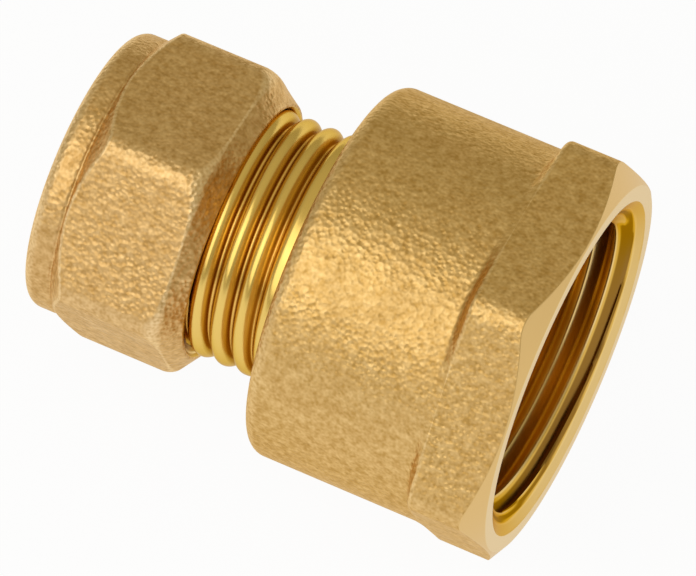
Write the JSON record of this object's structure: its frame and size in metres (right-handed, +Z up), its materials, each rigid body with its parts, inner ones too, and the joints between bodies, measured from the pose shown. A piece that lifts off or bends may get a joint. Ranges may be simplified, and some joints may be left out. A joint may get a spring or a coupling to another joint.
{
  "type": "female compression coupler",
  "caption": "Straight brass pipe coupler: a compression nut and olive grip a plain pipe at one end, and a hexagon-lugged barrel with an internal pipe thread is at the other.",
  "frame": {"origin": "centre of the pipe stop, the step inside the body where the pipe ends, on the pipe axis", "axes": "+X along the pipe axis towards the threaded mouth, +Z up from the hexagon flat that the coupler lies on"},
  "size_m": [0.0428, 0.0362, 0.0318],
  "materials": {
    "body_brass": "shot-blasted forged brass, bright turned ends and threads",
    "nut_brass": "shot-blasted forged brass, bright turned bore",
    "olive_brass": "smooth turned brass"
  },
  "bodies": {
    "coupler": {"coupler_body": "body_brass"},
    "olive": {"olive": "olive_brass"},
    "nut": {"compression_nut": "nut_brass"}
  },
  "joints": [
    {"name": "nut_travel", "type": "slide", "parent": "coupler", "child": "olive", "axis": [1, 0, 0], "range_m": [-0.00487, 0.00097]},
    {"name": "nut_turn", "type": "hinge", "parent": "olive", "child": "nut", "pos_m": [0, 0, 0], "axis": [1, 0, 0], "range_deg": [-900, 180]}
  ],
  "couplings": [
    {"joint": "nut_turn", "follows": "nut_travel", "rad_per_m": 3222.1}
  ]
}
